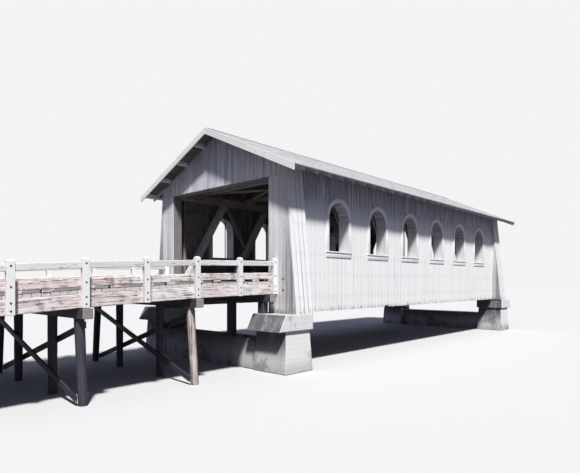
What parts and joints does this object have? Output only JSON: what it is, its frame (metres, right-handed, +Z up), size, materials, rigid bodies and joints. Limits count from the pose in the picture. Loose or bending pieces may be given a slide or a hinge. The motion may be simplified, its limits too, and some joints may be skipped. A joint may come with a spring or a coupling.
{
  "type": "timber covered bridge with a trestle approach",
  "caption": "White boarded timber covered bridge with gabled roof, arched side windows, flared corners, open roadway, concrete piers and a railed trestle approach.",
  "frame": {"origin": "middle of the whole length and width, at the lowest ground that the piers and bents stand on", "axes": "+X along the roadway away from the trestle approach, +Y north across the bridge, +Z up"},
  "size_m": [35.69, 10.66, 10.3579],
  "materials": {
    "white_boards": "weathered white paint",
    "white_trim": "white paint",
    "truss_timber": "rough sawn, aged",
    "deck_timber": "worn planks",
    "trestle_timber": "dark preservative",
    "peeled_timber": "peeling pale paint",
    "roof_shingles": "silvered shingles",
    "iron": "dark iron",
    "concrete": "limewashed concrete"
  },
  "bodies": {
    "root": {"angle_blocks": "truss_timber", "approach_curbs": "peeled_timber", "approach_deck": "deck_timber", "approach_fascias": "peeled_timber", "approach_stringers": "trestle_timber", "barge_boards": "white_trim", "bearing_blocks": "trestle_timber", "bent_braces": "trestle_timber", "bent_caps": "trestle_timber", "bent_piles": "trestle_timber", "bottom_chords": "truss_timber", "bridge_curbs": "deck_timber", "bridge_deck": "deck_timber", "corner_flares": "white_boards", "counterbraces": "truss_timber", "curb_blocks": "peeled_timber", "east_gable_boards": "white_boards", "east_pier": "concrete", "floor_beams": "truss_timber", "floor_stringers": "truss_timber", "gable_lookouts": "white_trim", "landing_posts": "trestle_timber", "lateral_bracing": "truss_timber", "main_braces": "truss_timber", "north_boards_above_windows": "white_boards", "north_boards_below_windows": "white_boards", "north_boards_between_windows": "white_boards", "north_roof_slope": "roof_shingles", "pier_caps": "concrete", "portal_headers": "truss_timber", "portal_jambs": "white_boards", "portal_posts": "truss_timber", "portal_reveals": "white_boards", "portal_soffits": "white_boards", "rafters": "white_trim", "rail_posts": "white_trim", "ridge_beam": "truss_timber", "ridge_cap": "roof_shingles", "south_boards_above_windows": "white_boards", "south_boards_below_windows": "white_boards", "south_boards_between_windows": "white_boards", "south_roof_slope": "roof_shingles", "tie_beams": "truss_timber", "top_chords": "truss_timber", "top_rails": "white_trim", "truss_rods": "iron", "wall_girts": "truss_timber", "wall_plates": "truss_timber", "wall_studs": "truss_timber", "west_gable_boards": "white_boards", "west_pier": "concrete", "window_linings": "white_trim", "window_sills": "white_trim", "window_trim": "white_trim"}
  },
  "joints": []
}
